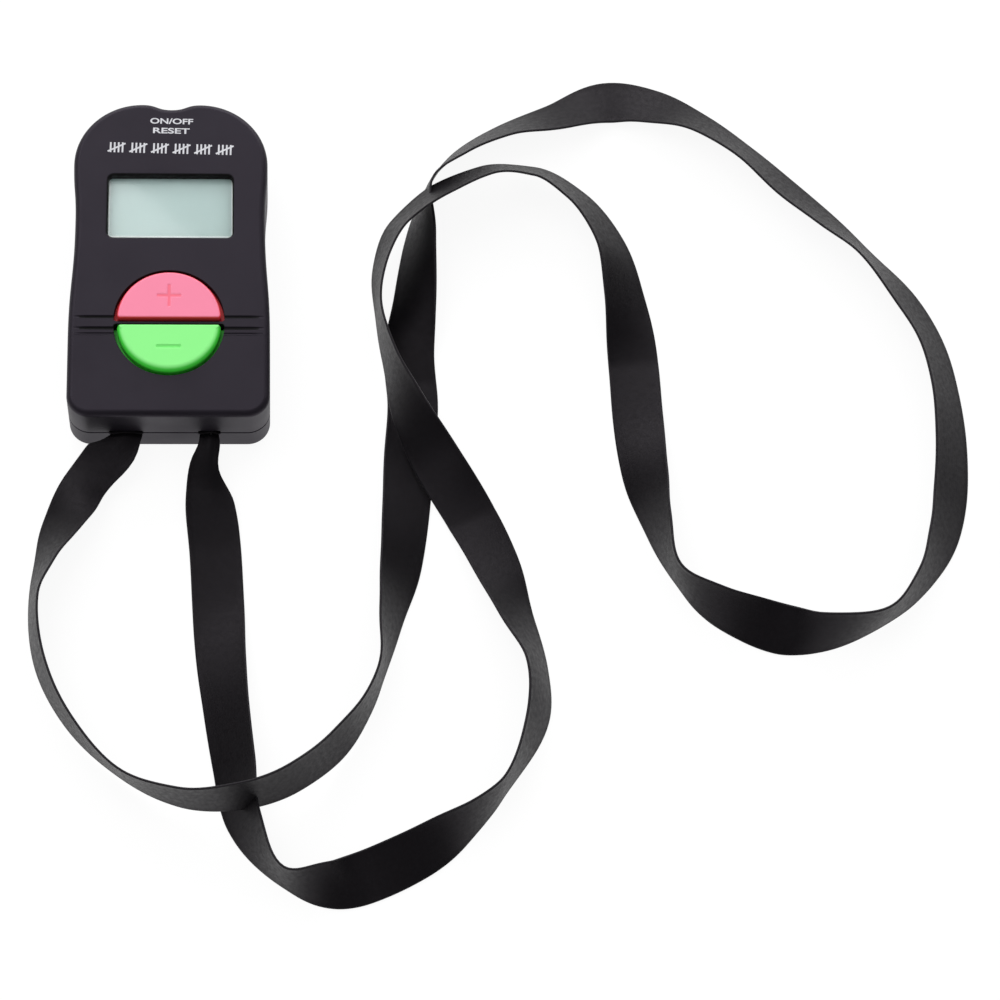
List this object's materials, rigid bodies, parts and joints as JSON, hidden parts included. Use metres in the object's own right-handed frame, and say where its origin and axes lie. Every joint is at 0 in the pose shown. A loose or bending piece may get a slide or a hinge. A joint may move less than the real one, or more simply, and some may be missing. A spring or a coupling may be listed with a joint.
{
  "type": "digital tally counter",
  "caption": "Pocket digital tally counter with a waisted dark case, display window, round plus and minus button pair, end reset button and a black neck ribbon.",
  "frame": {"origin": "centre of the flat back face of the case, on the surface that the counter lies on", "axes": "+X to the right edge of the face, +Y along the case to the end with the reset button, +Z out of the face through the display window"},
  "size_m": [0.1842, 0.1734, 0.017],
  "materials": {
    "shell": "soft matte dark charcoal",
    "lens": "clear polished",
    "display_glass": "clear, faint green",
    "film": "pale grey green, satin",
    "white_plastic": "moulded white",
    "elastomer": "matt, pink",
    "board": "green solder mask",
    "epoxy": "black, slightly glossy",
    "chip_ceramic": "matt tan",
    "steel": "nickel plated",
    "plus_plastic": "satin pink red",
    "minus_plastic": "satin light green",
    "reset_plastic": "satin light blue",
    "black_plastic": "moulded black",
    "ribbon": "black satin weave"
  },
  "bodies": {
    "case": {"front_cover": "shell", "back_cover": "shell", "display_lens": "lens", "front_polariser": "film", "display_glass": "display_glass", "rear_reflector": "film", "display_holder": "white_plastic", "contact_strip": "elastomer", "main_board": "board", "counter_chip": "epoxy", "quartz_crystal": "steel", "chip_capacitor": "chip_ceramic", "chip_resistor": "epoxy", "button_cell": "steel", "positive_contact": "steel", "negative_contact": "steel", "plus_switch": "black_plastic", "minus_switch": "black_plastic", "reset_switch": "black_plastic", "case_screw_1": "steel", "case_screw_2": "steel", "case_screw_3": "steel", "case_screw_4": "steel", "board_screw_1": "steel", "board_screw_2": "steel", "board_screw_3": "steel", "board_screw_4": "steel", "ribbon_end_right": "ribbon", "ribbon_end_left": "ribbon", "neck_ribbon": "ribbon"},
    "plus_key": {"plus_button": "plus_plastic"},
    "minus_key": {"minus_button": "minus_plastic"},
    "reset_key": {"reset_button": "reset_plastic"},
    "plus_slider": {"plus_plunger": "black_plastic"},
    "minus_slider": {"minus_plunger": "black_plastic"},
    "reset_slider": {"reset_plunger": "black_plastic"}
  },
  "joints": [
    {"name": "plus_press", "type": "slide", "parent": "case", "child": "plus_key", "axis": [0, 0, -1], "range_m": [0, 0.0005], "stiffness_N_per_m": 600, "springref_m": -0.001},
    {"name": "minus_press", "type": "slide", "parent": "case", "child": "minus_key", "axis": [0, 0, -1], "range_m": [0, 0.0005], "stiffness_N_per_m": 600, "springref_m": -0.001},
    {"name": "reset_press", "type": "slide", "parent": "case", "child": "reset_key", "axis": [0, -1, 0], "range_m": [0, 0.0005], "stiffness_N_per_m": 600, "springref_m": -0.001},
    {"name": "plus_plunge", "type": "slide", "parent": "case", "child": "plus_slider", "axis": [0, 0, -1], "range_m": [0, 0.0005]},
    {"name": "minus_plunge", "type": "slide", "parent": "case", "child": "minus_slider", "axis": [0, 0, -1], "range_m": [0, 0.0005]},
    {"name": "reset_plunge", "type": "slide", "parent": "case", "child": "reset_slider", "axis": [0, -1, 0], "range_m": [0, 0.0005]}
  ],
  "couplings": [
    {"joint": "plus_plunge", "follows": "plus_press", "ratio": 1},
    {"joint": "minus_plunge", "follows": "minus_press", "ratio": 1},
    {"joint": "reset_plunge", "follows": "reset_press", "ratio": 1}
  ]
}
